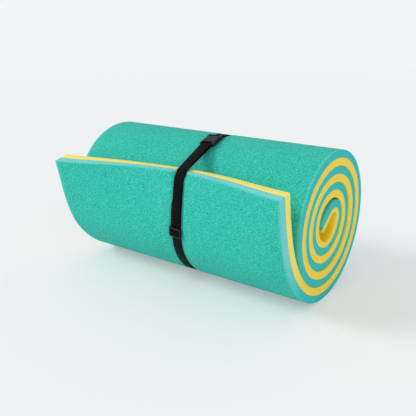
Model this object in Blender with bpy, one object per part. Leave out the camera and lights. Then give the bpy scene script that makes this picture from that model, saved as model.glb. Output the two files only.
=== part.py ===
# Roll-up swim float mat: two foam plies wound into a roll and held by one buckled webbing strap.
# Lengths are in metres, angles in degrees. X runs along the roll, the mat's free end faces -Y,
# +Z is up, and the roll rests on a narrow flat at Z = 0.
import math

import bpy
import bmesh
import numpy as np
from mathutils import Matrix

# Mat
MAT_WIDTH = 0.500
OUTER_PLY_WOUND = 0.0137
INNER_PLY_WOUND = 0.0144
OUTER_PLY_FREE = 0.0152
INNER_PLY_FREE = 0.0162
BOND_SINK = 0.0013
SEAT_GAP = 0.0003

# Winding: the mat follows a spiral, pressed a little oval by the strap. Where it is wound, the bond
# line lies deeper than the spiral, and it meets it on the free end.
START_RADIUS = 0.0223
OVAL_DEPTH = 0.0033
START_POLAR = 225.0
JOIN_TURN = 360.0
LIFT_TURN = 1440.0
TURN_STEP = 10.0

# Core: the first lap folds round tightly, then runs straight across the hollow to the mat's tip
CORE_RADII = (0.0510, 0.0234, 0.0400)
CORE_ANGLES = (109.0, 110.8, 28.3)
CORE_ARC_STEPS = (11, 9, 3)
CORE_RUN = 0.0345
CORE_RUN_STEPS = 2
CORE_BLEND_STEPS = 5

# The inner ply is squeezed where the mat folds tightest, as turn angles and shares of its thickness
FOLD_SQUEEZE_TURNS = (0, 112, 330, 400)
FOLD_SQUEEZE_SHARES = (0.30, 0.35, 0.35, 0.0)

# Laps stand a little in or out at the roll's ends, as turn angles and shares of the pitch
LAP_STAND_TURNS = (0, 250, 560, 720, 900, 1080, 1300, 1450)
LAP_STAND_SHARES = (-0.12, -0.12, -0.135, -0.10, -0.04, -0.02, -0.02, 0.0)

# Free end: bend per metre at its root, middle and edge, at the far and the near end of the roll
FLAP_LENGTH_FAR = 0.2024
FLAP_LENGTH_NEAR = 0.2175
FLAP_RADII_FAR = (0.1401, 0.3029, -0.4235)
FLAP_RADII_NEAR = (0.1927, 0.2761, -4.15)
FLAP_FINE_STEPS = 5
FLAP_STEPS = 13
FLAP_FINE_LENGTH = 0.060
STRAP_PULL_RADIUS = 0.234
PULL_START_SHARE = 0.10
PULL_END_SHARE = 0.70
PULL_PLACE = 0.023
PULL_REACH_NEAR = 0.262
PULL_REACH_FAR = 0.350

# Columns of the surface along the roll, as shares of the width, on each side of the strap
COLUMN_SHARES = (0.5, 0.39, 0.28, 0.17)

# Rest
REST_FLAT_DEPTH = 0.0005
REST_CUT_MARGIN = 0.05

# Strap: one webbing band in a slightly skewed plane round the roll
WEB_WIDTH = 0.0200
WEB_THICKNESS = 0.0013
WEB_LAYER_GAP = 0.00035
WEB_SEAT_GAP = 0.00045
STRAP_SKEW = 10.5
STRAP_LEAN = 5.1
SPAN_SEARCH_TURNS = (300.0, 180.0)
SPAN_SEARCH_STEPS = 120
DENT_DEPTH = 0.0024
DENT_SIDE_GAP = 0.0009
DENT_SHOULDER = 0.0072
EDGE_CRUSH = 0.0062
EDGE_CRUSH_LENGTH = 0.016
SOCKET_TAIL = 0.034
SLIDER_TAIL = 0.052

# Buckle, sized for 20 mm webbing
BUCKLE_WIDTH = 0.0280
BUCKLE_THICKNESS = 0.0080
BUCKLE_CORNER = 0.0030
BUCKLE_EDGE = 0.0008
BUCKLE_WALL = 0.0015
BUCKLE_SIT = 0.0006
SOCKET_LENGTH = 0.0300
SOCKET_BODY_LENGTH = 0.0205
SOCKET_WAIST = 0.0022
WEB_SLOT = 0.0058
BAR_RADIUS = 0.0016
WINDOW_START = 0.0080
WINDOW_LENGTH = 0.0090
PLUG_BASE_LENGTH = 0.0150
PLUG_TONGUE_WIDTH = 0.0050
PLUG_TONGUE_LENGTH = 0.0165
PLUG_GAP = 0.0004
ARM_THICKNESS = 0.0020
ARM_HEAD = 0.0038
ARM_LENGTH = 0.0160
ARM_ROOT_PLACE = 0.0088
ARM_ROOT_RADIUS = 0.0014
ARM_HEIGHT = 0.0044
BUCKLE_BACK = 0.0325

# Slider: a three-bar frame with its middle bar set low
SLIDER_WIDTH = 0.0246
SLIDER_BAR = 0.0030
SLIDER_SLOT = 0.0054
SLIDER_BAR_THICKNESS = 0.0018
SLIDER_CORNER = 0.0022
SLIDER_EDGE = 0.0005
SLIDER_DROP = 0.1115

OUTER_GREEN = (0.012, 0.455, 0.365, 1.0)
INNER_YELLOW = (0.96, 0.63, 0.045, 1.0)
WEBBING_BLACK = (0.010, 0.012, 0.014, 1.0)
BUCKLE_BLACK = (0.016, 0.017, 0.019, 1.0)

PITCH = OUTER_PLY_WOUND + INNER_PLY_WOUND + 2 * SEAT_GAP
HALF_WIDTH = MAT_WIDTH / 2
HALF_WEB = WEB_WIDTH / 2
HALF_GAP = SEAT_GAP / 2
DENT_HALF = HALF_WEB + DENT_SIDE_GAP
SHOULDER_HALF = DENT_HALF + DENT_SHOULDER
SKEW_SLOPE = math.tan(math.radians(STRAP_SKEW))
LEAN_SLOPE = math.tan(math.radians(STRAP_LEAN))
LAYER_RISE = WEB_THICKNESS + WEB_LAYER_GAP
LOW_LAYER = WEB_SEAT_GAP + WEB_THICKNESS / 2
MID_LAYER = LOW_LAYER + LAYER_RISE
TOP_LAYER = MID_LAYER + LAYER_RISE


def polar(radius, angle):
    a = math.radians(angle)
    return np.array([radius * math.cos(a), radius * math.sin(a)])


def glue_radius(turn):
    return START_RADIUS + PITCH * turn / 360 + OVAL_DEPTH * math.cos(2 * math.radians(START_POLAR - turn))


def glue_point(turn):
    return polar(glue_radius(turn), START_POLAR - turn)


def lap_stand(turn):
    return PITCH * float(np.interp(turn, LAP_STAND_TURNS, LAP_STAND_SHARES))


def heading_at(turn):
    # direction of winding, from a small step either way
    step = glue_point(turn + 0.5) - glue_point(turn - 0.5)
    return math.atan2(step[1], step[0])


def outward(heading):
    # the roll's inside lies to the right of the winding direction
    return np.array([-math.sin(heading), math.cos(heading)])


def smooth(share):
    share = min(max(share, 0.0), 1.0)
    return share * share * (3 - 2 * share)


def core_stations():
    # walked backwards from the join to the tip, then turned round
    place = glue_point(JOIN_TURN)
    heading = heading_at(JOIN_TURN)
    stations = []
    turn = JOIN_TURN
    for radius, angle, steps in zip(CORE_RADII, CORE_ANGLES, CORE_ARC_STEPS):
        bend = math.radians(angle) / steps
        chord = 2 * radius * math.sin(bend / 2)
        for _ in range(steps):
            place = place - chord * np.array([math.cos(heading + bend / 2), math.sin(heading + bend / 2)])
            heading += bend
            turn -= angle / steps
            square = min((len(stations) + 1) / CORE_BLEND_STEPS, 1.0)
            out = outward(heading) * square + place / np.linalg.norm(place) * (1 - square)
            stations.append({"point": place, "out": out / np.linalg.norm(out), "turn": max(turn, 0.0)})
    for _ in range(CORE_RUN_STEPS):
        place = place - CORE_RUN / CORE_RUN_STEPS * np.array([math.cos(heading), math.sin(heading)])
        stations.append({"point": place, "out": outward(heading), "turn": 0.0})
    return stations[::-1]


def wound_stations():
    stations = []
    for k in range(int(round((LIFT_TURN - JOIN_TURN) / TURN_STEP)) + 1):
        turn = JOIN_TURN + k * TURN_STEP
        stations.append({"point": glue_point(turn), "out": polar(1.0, START_POLAR - turn), "turn": turn})
    return stations


def flap_lengths():
    fine = [FLAP_FINE_LENGTH * k / FLAP_FINE_STEPS for k in range(1, FLAP_FINE_STEPS + 1)]
    coarse = FLAP_STEPS - FLAP_FINE_STEPS
    nominal = (FLAP_LENGTH_FAR + FLAP_LENGTH_NEAR) / 2
    rest = [FLAP_FINE_LENGTH + (nominal - FLAP_FINE_LENGTH) * k / coarse for k in range(1, coarse + 1)]
    return [length / nominal for length in fine + rest]


def flap_bend(share, x):
    # bend per metre along the free end: a curve through three values, tightened where the strap pulls
    across = min(max(x / MAT_WIDTH + 0.5, 0.0), 1.0)
    values = [(1 - across) / far + across / near for far, near in zip(FLAP_RADII_FAR, FLAP_RADII_NEAR)]
    root = 2 * (share - 0.5) * (share - 1)
    middle = 4 * share * (1 - share)
    edge = 2 * share * (share - 0.5)
    reach = PULL_REACH_NEAR if x > PULL_PLACE else PULL_REACH_FAR
    off = min(abs(x - PULL_PLACE) / reach, 1.0)
    along = (share - PULL_START_SHARE) / (PULL_END_SHARE - PULL_START_SHARE)
    pull = (1 + math.cos(math.pi * off)) / 2 * math.sin(math.pi * min(max(along, 0.0), 1.0)) ** 2
    return root * values[0] + middle * values[1] + edge * values[2] + pull / STRAP_PULL_RADIUS


def flap_stations(x, pieces=8):
    across = min(max(x / MAT_WIDTH + 0.5, 0.0), 1.0)
    length = FLAP_LENGTH_FAR + (FLAP_LENGTH_NEAR - FLAP_LENGTH_FAR) * across
    place = glue_point(LIFT_TURN)
    heading = heading_at(LIFT_TURN)
    stations = []
    before = 0.0
    for index, share in enumerate(flap_lengths()):
        step = (share - before) / pieces
        for k in range(pieces):
            bend = flap_bend(before + (k + 0.5) * step, x) * step * length
            middle = heading - bend / 2
            place = place + step * length * np.array([math.cos(middle), math.sin(middle)])
            heading -= bend
        before = share
        stations.append({"point": place, "out": outward(heading), "share": share, "index": index,
                         "turn": LIFT_TURN + 80 * share})
    return stations


def relaxed(share):
    # the free end swells to its full thickness
    return smooth(share * 2.5)


def outer_thickness(station):
    return OUTER_PLY_WOUND + (OUTER_PLY_FREE - OUTER_PLY_WOUND) * relaxed(station.get("share", 0.0))


def inner_thickness(station):
    squeezed = float(np.interp(station["turn"], FOLD_SQUEEZE_TURNS, FOLD_SQUEEZE_SHARES))
    full = INNER_PLY_WOUND + (INNER_PLY_FREE - INNER_PLY_WOUND) * relaxed(station.get("share", 0.0))
    return full * (1 - squeezed)


def bond_sink(station):
    return BOND_SINK * (1 - relaxed(station.get("share", 0.0)))


def outer_rise(station):
    # from the spiral to the mat's outer face
    return outer_thickness(station) - bond_sink(station)


def strap_x(point):
    # the strap's plane is turned a little about the upright and leaned a little along the roll
    return -SKEW_SLOPE * point[0] + LEAN_SLOPE * point[1]


def strap_start_turn():
    # The band's straight run from the free edge would touch the roll at one turn. It leaves the roll
    # at the next station and starts to press two stations before that.
    last = FLAP_MIDDLE[-1]
    corner = last["point"] + last["out"] * (outer_rise(last) + HALF_GAP - DENT_DEPTH - EDGE_CRUSH)
    slopes = []
    for k in range(SPAN_SEARCH_STEPS + 1):
        turn = LIFT_TURN - float(np.interp(k, (0, SPAN_SEARCH_STEPS), SPAN_SEARCH_TURNS))
        run = glue_point(turn) + polar(OUTER_PLY_WOUND - BOND_SINK, START_POLAR - turn) - corner
        slopes.append((math.atan2(run[1], run[0]), turn))
    touching = max(slopes)[1] - JOIN_TURN
    return JOIN_TURN + (math.ceil(touching / TURN_STEP) - 2) * TURN_STEP


def dent(station, off):
    # how far the strap presses the outer surface in, at a distance off from its centre line
    turn = station["turn"]
    along = smooth((turn - STRAP_START_TURN) / (2 * TURN_STEP))
    across = 1 - min(max((off - DENT_HALF) / DENT_SHOULDER, 0.0), 1.0)
    depth = DENT_DEPTH
    if "share" in station:
        left = (1 - station["share"]) * FLAP_LENGTH_NEAR
        depth += EDGE_CRUSH * smooth(1 - left / EDGE_CRUSH_LENGTH) if left < EDGE_CRUSH_LENGTH else 0.0
    return along * across * depth


CORE = core_stations()
WOUND = wound_stations()
FLAP_MIDDLE = flap_stations(PULL_PLACE)
STRAP_START_TURN = strap_start_turn()
FIXED_COLUMNS = [share * MAT_WIDTH for share in COLUMN_SHARES]
STRAP_OFFS = (-SHOULDER_HALF, -DENT_HALF, DENT_HALF, SHOULDER_HALF)


def column_places(station):
    # X of each column, and its distance from the strap's centre line or None
    nominal = station["point"] + station["out"] * outer_rise(station)
    centre = strap_x(nominal)
    columns = [(-x, None) for x in FIXED_COLUMNS]
    columns += [(centre + off, abs(off)) for off in STRAP_OFFS]
    columns += [(x, None) for x in reversed(FIXED_COLUMNS)]
    return columns


FLAP_CACHE = {}


def flap_at(x):
    key = round(x, 7)
    if key not in FLAP_CACHE:
        FLAP_CACHE[key] = flap_stations(x)
    return FLAP_CACHE[key]


def ply_rows(inside, outside, first_split):
    # rows of (inner points, outer points); a row has two columns, or all of them past first_split
    rows = []
    for station in CORE + WOUND:
        split = station["turn"] >= first_split
        columns = column_places(station) if split else [(-HALF_WIDTH, None), (HALF_WIDTH, None)]
        rows.append(ply_row([station] * len(columns), columns, inside, outside))
    for index, middle in enumerate(FLAP_MIDDLE):
        columns = column_places(middle)
        stations = [flap_at(x)[index] for x, _ in columns]
        rows.append(ply_row(stations, columns, inside, outside))
    return rows


def ply_row(stations, columns, inside, outside):
    inner = []
    outer = []
    last = len(columns) - 1
    for index, (station, (x, off)) in enumerate(zip(stations, columns)):
        place = x + (lap_stand(station["turn"]) if index in (0, last) else 0.0)
        low = station["point"] + station["out"] * inside(station)
        high = station["point"] + station["out"] * outside(station, off)
        inner.append((place, low[0], low[1]))
        outer.append((place, high[0], high[1]))
    return inner, outer


def build_ply(name, rows, material):
    mesh = bmesh.new()
    grid = []
    for inner, outer in rows:
        grid.append(([mesh.verts.new(p) for p in inner], [mesh.verts.new(p) for p in outer]))
    for (inner_a, outer_a), (inner_b, outer_b) in zip(grid, grid[1:]):
        for low, high, flip in ((inner_a, inner_b, False), (outer_a, outer_b, True)):
            add_strip(mesh, low, high, flip)
        for column in (0, -1):
            ring = [inner_a[column], inner_b[column], outer_b[column], outer_a[column]]
            mesh.faces.new(ring if column == 0 else ring[::-1])
    for (inner, outer), flip in ((grid[0], False), (grid[-1], True)):
        for k in range(len(inner) - 1):
            ring = [inner[k], outer[k], outer[k + 1], inner[k + 1]]
            mesh.faces.new(ring[::-1] if flip else ring)
    bmesh.ops.recalc_face_normals(mesh, faces=mesh.faces)
    return finish_object(name, mesh, material)


def add_strip(mesh, low, high, flip):
    if len(low) == len(high):
        for k in range(len(low) - 1):
            for ring in ([low[k], low[k + 1], high[k + 1]], [low[k], high[k + 1], high[k]]):
                mesh.faces.new(ring[::-1] if flip else ring)
        return
    ring = list(low) + list(high)[::-1]
    mesh.faces.new(ring[::-1] if flip else ring)


def finish_object(name, mesh, material, parent=None):
    data = bpy.data.meshes.new(name)
    mesh.to_mesh(data)
    mesh.free()
    data.materials.append(material)
    obj = bpy.data.objects.new(name, data)
    bpy.context.collection.objects.link(obj)
    if parent is not None:
        obj.parent = parent
    data.shade_smooth()
    data.set_sharp_from_angle(angle=math.radians(35))
    return obj


def make_material(name, colour, roughness):
    material = bpy.data.materials.new(name)
    material.use_nodes = True
    shader = material.node_tree.nodes["Principled BSDF"]
    shader.inputs["Base Color"].default_value = colour
    shader.inputs["Roughness"].default_value = roughness
    shader.inputs["Metallic"].default_value = 0.0
    material.diffuse_color = colour
    return material


def strap_base():
    # points of the dented surface under the strap's centre line, from the roll's top round the back
    # and the bottom to the free edge, with the surface's own cross direction at each
    seats = []
    for station in WOUND + FLAP_MIDDLE:
        if station["turn"] < STRAP_START_TURN + 2 * TURN_STEP:
            continue
        nominal = station["point"] + station["out"] * outer_rise(station)
        centre = strap_x(nominal)
        places = [dented_point(station, centre + side) for side in (-HALF_WEB, 0.0, HALF_WEB)]
        seats.append((places[1], unit(places[2] - places[0])))
    return seats


def dented_point(station, x):
    if "share" in station:
        station = flap_at(x)[station["index"]]
    place = station["point"] + station["out"] * (outer_rise(station) + HALF_GAP - dent(station, 0.0))
    return np.array([x, place[0], place[1]])


ACROSS = np.array([1.0, 0.0, 0.0])


def unit(vector):
    return vector / np.linalg.norm(vector)


class StrapLoop:
    # Distance along the strap's seat. Negative distances lie on the straight span, which ends at 0.
    def __init__(self):
        base = strap_base()
        self.seats = [place for place, _ in base]
        self.rows = [row for _, row in base]
        self.corner = self.seats[-1]
        self.span_end = self.seats[0]
        self.distance = [0.0]
        for a, b in zip(self.seats, self.seats[1:]):
            self.distance.append(self.distance[-1] + float(np.linalg.norm(b - a)))
        self.edge = self.distance[-1]
        self.span = float(np.linalg.norm(self.span_end - self.corner))
        self.span_along = unit(self.span_end - self.corner)
        edges = [unit(b - a) for a, b in zip(self.seats, self.seats[1:])]
        self.along = [edges[0]] + [unit(a + b) for a, b in zip(edges, edges[1:])] + [edges[-1]]

    def at(self, distance):
        # seat point, direction and surface cross direction; past the free edge the span follows
        if distance > self.edge:
            distance -= self.edge + self.span
        if distance <= 0:
            return self.span_end + self.span_along * distance, self.span_along, ACROSS
        index = int(np.searchsorted(self.distance, distance)) - 1
        index = min(max(index, 0), len(self.seats) - 2)
        length = self.distance[index + 1] - self.distance[index]
        share = (distance - self.distance[index]) / length
        return tuple(a[index] * (1 - share) + a[index + 1] * share
                     for a in (self.seats, self.along, self.rows))

    def lifted(self, distance, height):
        # a point of one layer and the band's cross direction there
        return raised(*self.at(distance), height)

    def seat_run(self, start, end, height):
        # the layer's points at every seat station between two distances
        run = [raised(self.seats[k], self.along[k], self.rows[k], height)
               for k, d in enumerate(self.distance[:-1]) if min(start, end) < d < max(start, end)]
        return run if end > start else run[::-1]

    def edge_fan(self, height, steps=3):
        # round the free edge's corner, from the front face to the span
        fan = []
        for k in range(steps + 1):
            along = self.along[-1] * (1 - k / steps) + self.span_along * (k / steps)
            fan.append(raised(self.corner, along, self.rows[-1], height))
        return fan


def raised(point, along, row, height):
    along = unit(along)
    normal = unit(np.cross(row, along))
    return point + normal * height, unit(np.cross(normal, along))


def wrap_round(bar, way):
    # the band's bend round a buckle bar, from above it to beneath
    bend = []
    for k in range(WRAP_STEPS + 1):
        angle = math.radians(90 - way * (WRAP_START + (180 - 2 * WRAP_START) * k / WRAP_STEPS))
        bend.append(LOOP.lifted(bar + WRAP * math.cos(angle), BUCKLE_MIDDLE + WRAP * math.sin(angle)))
    return bend


LOOP = StrapLoop()
BUCKLE_BASE = DENT_DEPTH + BUCKLE_SIT
BUCKLE_MIDDLE = BUCKLE_BASE + BUCKLE_THICKNESS / 2
SOCKET_BAR_PLACE = -BUCKLE_BACK + SOCKET_LENGTH - BAR_RADIUS
PLUG_BAR_PLACE = -BUCKLE_BACK - PLUG_BASE_LENGTH + BAR_RADIUS
WRAP = BAR_RADIUS + SEAT_GAP + WEB_THICKNESS / 2
WRAP_STEPS = 7
WRAP_START = -16.0
SLOT_HALF = HALF_WEB + BUCKLE_WALL / 2

SLIDER_PITCH = SLIDER_BAR + SLIDER_SLOT
SLIDER_LENGTH = 3 * SLIDER_BAR + 2 * SLIDER_SLOT
LOW_BAR_BOTTOM = LOW_LAYER + WEB_THICKNESS / 2 + WEB_LAYER_GAP
LOW_BAR_TOP = LOW_BAR_BOTTOM + SLIDER_BAR_THICKNESS
HIGH_BAR_BOTTOM = TOP_LAYER + WEB_THICKNESS / 2 + WEB_LAYER_GAP
HIGH_BAR_TOP = HIGH_BAR_BOTTOM + SLIDER_BAR_THICKNESS
SLIDER_WRAP = LOW_BAR_TOP + WEB_LAYER_GAP + WEB_THICKNESS / 2
SLIDER_OVER = SLIDER_WRAP + LAYER_RISE


def frame_at(distance):
    # frame whose X runs along the strap, Y across it and Z away from the roll
    point, along, row = LOOP.at(distance)
    along = unit(along)
    normal = unit(np.cross(row, along))
    across = np.cross(normal, along)
    return Matrix((
        (along[0], across[0], normal[0], point[0]),
        (along[1], across[1], normal[1], point[1]),
        (along[2], across[2], normal[2], point[2]),
        (0, 0, 0, 1)))


def webbing_path():
    # centre line of the whole band, from the tail sewn at the socket to the tail sewn at the slider
    path = []
    bar = SOCKET_BAR_PLACE
    for distance in (bar + SOCKET_TAIL, bar + SOCKET_TAIL * 0.72):
        path.append(LOOP.lifted(distance, MID_LAYER))
    path.append(LOOP.lifted(bar + WEB_SLOT * 1.9, MID_LAYER + BUCKLE_SIT * 2))
    path += wrap_round(bar, -1)
    path.append(LOOP.lifted(bar + WEB_SLOT * 1.9, LOW_LAYER + BUCKLE_SIT / 2))
    slider = LOOP.edge - SLIDER_DROP
    low = slider - SLIDER_PITCH
    high = slider + SLIDER_PITCH
    path += LOOP.seat_run(bar + WEB_SLOT * 2.4, low - SLIDER_PITCH, LOW_LAYER)
    path.append(LOOP.lifted(low - SLIDER_BAR * 1.6, LOW_LAYER + WEB_LAYER_GAP))
    path.append(LOOP.lifted(low, MID_LAYER))
    path.append(LOOP.lifted(low + SLIDER_BAR * 0.9, TOP_LAYER))
    path.append(LOOP.lifted(slider - SLIDER_BAR * 0.75, SLIDER_OVER - WEB_LAYER_GAP))
    path.append(LOOP.lifted(slider, SLIDER_OVER))
    path.append(LOOP.lifted(slider + SLIDER_BAR * 0.75, SLIDER_OVER - WEB_LAYER_GAP))
    path.append(LOOP.lifted(high - SLIDER_BAR * 0.6, TOP_LAYER))
    path.append(LOOP.lifted(high + SLIDER_BAR * 0.6, TOP_LAYER))
    crease = slider + SLIDER_TAIL
    path += LOOP.seat_run(high + SLIDER_BAR, crease, TOP_LAYER)
    path.append(LOOP.lifted(crease + WEB_LAYER_GAP * 2, TOP_LAYER))
    path.append(LOOP.lifted(crease + LAYER_RISE * 3, MID_LAYER))
    path += LOOP.seat_run(crease + LAYER_RISE * 4, LOOP.edge, MID_LAYER)
    path += LOOP.edge_fan(MID_LAYER)
    path += wrap_round(PLUG_BAR_PLACE, 1)
    path += LOOP.edge_fan(LOW_LAYER)[::-1]
    path += LOOP.seat_run(LOOP.edge, high, LOW_LAYER)
    path.append(LOOP.lifted(slider + SLIDER_BAR, LOW_LAYER))
    centre = (LOW_LAYER + SLIDER_WRAP) / 2
    reach = (SLIDER_WRAP - LOW_LAYER) / 2
    for k in range(WRAP_STEPS + 1):
        angle = -math.pi / 2 - math.pi * k / WRAP_STEPS
        back = slider - SLIDER_BAR / 2 + reach * 0.3 + reach * math.cos(angle)
        path.append(LOOP.lifted(back, centre + reach * math.sin(angle)))
    path.append(LOOP.lifted(slider + SLIDER_BAR / 2, SLIDER_WRAP))
    path.append(LOOP.lifted(high - SLIDER_BAR * 0.6, MID_LAYER))
    path += LOOP.seat_run(high, crease - WEB_SLOT, MID_LAYER)
    path.append(LOOP.lifted(crease - WEB_LAYER_GAP * 2, MID_LAYER))
    return path


def build_webbing(material):
    path = webbing_path()
    points = [point for point, _ in path]
    edges = [unit(b - a) for a, b in zip(points, points[1:])]
    mesh = bmesh.new()
    rings = []
    for index, (point, across) in enumerate(path):
        before = edges[max(index - 1, 0)]
        after = edges[min(index, len(edges) - 1)]
        along = unit(before + after)
        across = unit(across - along * float(across @ along))
        spread = max(float(before @ along), 0.5)
        half = np.cross(along, across) * (WEB_THICKNESS / 2 / spread)
        side = across * HALF_WEB
        corners = (point - side - half, point + side - half, point + side + half, point - side + half)
        rings.append([mesh.verts.new(tuple(c)) for c in corners])
    for a, b in zip(rings, rings[1:]):
        for k in range(4):
            mesh.faces.new([a[k], a[(k + 1) % 4], b[(k + 1) % 4], b[k]])
    mesh.faces.new(rings[0][::-1])
    mesh.faces.new(rings[-1])
    bmesh.ops.recalc_face_normals(mesh, faces=mesh.faces)
    return finish_object("strap_webbing", mesh, material)


def prism(outline, low, high):
    # closed outline in the strap's plane, extruded away from the roll
    mesh = bmesh.new()
    base = mesh.faces.new([mesh.verts.new((x, y, low)) for x, y in outline])
    moved = bmesh.ops.extrude_face_region(mesh, geom=[base])
    lifted = [item for item in moved["geom"] if isinstance(item, bmesh.types.BMVert)]
    bmesh.ops.translate(mesh, verts=lifted, vec=(0, 0, high - low))
    bmesh.ops.recalc_face_normals(mesh, faces=mesh.faces)
    return mesh


def rectangle(x0, x1, half):
    return [(x0, -half), (x1, -half), (x1, half), (x0, half)]


def rounded(x0, x1, half, radius, steps=4):
    outline = []
    centres = ((x1 - radius, half - radius, 0), (x0 + radius, half - radius, 90),
               (x0 + radius, -half + radius, 180), (x1 - radius, -half + radius, 270))
    for cx, cy, start in centres:
        for k in range(steps + 1):
            a = math.radians(start + 90 * k / steps)
            outline.append((cx + radius * math.cos(a), cy + radius * math.sin(a)))
    return outline


def cutter(name, mesh, parent):
    data = bpy.data.meshes.new(name)
    mesh.to_mesh(data)
    mesh.free()
    obj = bpy.data.objects.new(name, data)
    bpy.context.collection.objects.link(obj)
    obj.parent = parent
    obj.hide_render = True
    obj.display_type = "WIRE"
    return obj


def add_boolean(obj, other, operation):
    modifier = obj.modifiers.new(operation.lower(), "BOOLEAN")
    modifier.operation = operation
    modifier.object = other
    modifier.solver = "EXACT"


def add_bevel(obj, width, segments=2, angle=40):
    modifier = obj.modifiers.new("soft_edges", "BEVEL")
    modifier.width = width
    modifier.segments = segments
    modifier.limit_method = "ANGLE"
    modifier.angle_limit = math.radians(angle)


def bar_mesh(x, height, radius, half, sides=12):
    # round bar across the strap
    mesh = bmesh.new()
    bmesh.ops.create_cone(mesh, cap_ends=True, segments=sides, radius1=radius, radius2=radius,
                          depth=2 * half)
    turn = Matrix.Rotation(math.radians(90), 4, "X")
    bmesh.ops.transform(mesh, matrix=Matrix.Translation((x, 0, height)) @ turn, verts=mesh.verts)
    return mesh


def make_empty(name, matrix):
    empty = bpy.data.objects.new(name, None)
    bpy.context.collection.objects.link(empty)
    empty.matrix_world = matrix
    return empty


def build_socket(frame, material):
    # a flat shell with an open mouth, two side windows for the latch heads and a webbing slot
    half = BUCKLE_WIDTH / 2
    top = BUCKLE_BASE + BUCKLE_THICKNESS
    waist = []
    body = SOCKET_BODY_LENGTH
    for k in range(7):
        share = k / 6
        x = WINDOW_START + WINDOW_LENGTH * share
        waist.append((x, -half + SOCKET_WAIST * math.sin(math.pi * share)))
    side = [(0.0, -half + BUCKLE_EDGE)] + waist
    corner = rounded(0.0, SOCKET_LENGTH, half, BUCKLE_CORNER)
    far_lower = [p for p in corner if p[0] > SOCKET_LENGTH - BUCKLE_CORNER * 1.01 and p[1] < 0]
    lower = side + far_lower
    outline = lower + [(x, -y) for x, y in reversed(lower)]
    socket = finish_object("buckle_socket", prism(outline, BUCKLE_BASE, top), material, frame)
    add_bevel(socket, BUCKLE_EDGE)
    over = BUCKLE_WALL
    cavity_half = half - BUCKLE_WALL
    low = BUCKLE_BASE + BUCKLE_WALL
    high = top - BUCKLE_WALL
    cavity = prism(rectangle(-over, body - BUCKLE_WALL, cavity_half), low, high)
    add_boolean(socket, cutter("socket_cavity", cavity, frame), "DIFFERENCE")
    window = rectangle(WINDOW_START, WINDOW_START + WINDOW_LENGTH, half + over)
    windows = cutter("socket_windows", prism(window, low, high), frame)
    add_boolean(socket, windows, "DIFFERENCE")
    slot_start = SOCKET_LENGTH - 2 * BAR_RADIUS - WEB_SLOT
    slot = prism(rectangle(slot_start, SOCKET_LENGTH + over, SLOT_HALF), BUCKLE_BASE - over, top + over)
    add_boolean(socket, cutter("socket_slot", slot, frame), "DIFFERENCE")
    bar = bar_mesh(SOCKET_LENGTH - BAR_RADIUS, BUCKLE_MIDDLE, BAR_RADIUS, half - BUCKLE_CORNER / 2)
    add_boolean(socket, cutter("socket_bar", bar, frame), "UNION")
    return socket


def build_plug(frame, material):
    # base with a webbing slot, a stepped neck that enters the mouth and a guide tongue
    half = BUCKLE_WIDTH / 2
    top = BUCKLE_BASE + BUCKLE_THICKNESS
    start = -PLUG_BASE_LENGTH
    outline = rounded(start, -PLUG_GAP, half, BUCKLE_CORNER)
    plug = finish_object("buckle_plug", prism(outline, BUCKLE_BASE, top), material, frame)
    add_bevel(plug, BUCKLE_EDGE)
    over = BUCKLE_WALL
    slot_end = start + 2 * BAR_RADIUS + WEB_SLOT
    slot = prism(rectangle(start - over, slot_end, SLOT_HALF), BUCKLE_BASE - over, top + over)
    add_boolean(plug, cutter("plug_slot", slot, frame), "DIFFERENCE")
    bar = bar_mesh(start + BAR_RADIUS, BUCKLE_MIDDLE, BAR_RADIUS, half - BUCKLE_CORNER / 2)
    add_boolean(plug, cutter("plug_bar", bar, frame), "UNION")
    low = BUCKLE_MIDDLE - ARM_HEIGHT / 2
    high = BUCKLE_MIDDLE + ARM_HEIGHT / 2
    half_tongue = PLUG_TONGUE_WIDTH / 2
    tongue_outline = rounded(-PLUG_BASE_LENGTH / 4, PLUG_TONGUE_LENGTH, half_tongue, BUCKLE_EDGE, 2)
    tongue = cutter("plug_tongue", prism(tongue_outline, low, high), frame)
    add_boolean(plug, tongue, "UNION")
    for sign in (-1, 1):
        socket_radius = ARM_ROOT_RADIUS + SEAT_GAP
        cup = bmesh.new()
        bmesh.ops.create_cone(cup, cap_ends=True, segments=24, radius1=socket_radius, radius2=socket_radius,
                              depth=ARM_HEIGHT + 2 * SEAT_GAP)
        place = Matrix.Translation((-PLUG_GAP, sign * ARM_ROOT_PLACE, BUCKLE_MIDDLE))
        bmesh.ops.transform(cup, matrix=place, verts=cup.verts)
        add_boolean(plug, cutter("plug_cup", cup, frame), "DIFFERENCE")
    return plug


def arm_outline():
    # plan of one latch arm about its root, with a pressing head that fills the window
    head_start = WINDOW_START + PLUG_GAP + SEAT_GAP
    outer = BUCKLE_WIDTH / 2 - ARM_ROOT_PLACE - BUCKLE_EDGE / 2
    neck = BUCKLE_WIDTH / 2 - BUCKLE_WALL - SEAT_GAP - ARM_ROOT_PLACE
    length = ARM_LENGTH
    half = ARM_ROOT_RADIUS
    return [
        (0.0, -half), (head_start, neck - ARM_THICKNESS - ARM_HEAD / 8),
        (length - ARM_HEAD, outer - ARM_HEAD), (length, outer - ARM_HEAD * 0.8),
        (length + ARM_HEAD / 4, outer - ARM_HEAD * 0.45), (length - ARM_HEAD / 4, outer - ARM_HEAD * 0.2),
        (length - ARM_HEAD, outer), (head_start + ARM_HEAD / 4, outer), (head_start, outer - ARM_HEAD / 8),
        (head_start, neck), (head_start - ARM_HEAD / 3, neck), (0.0, half),
    ]


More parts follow.
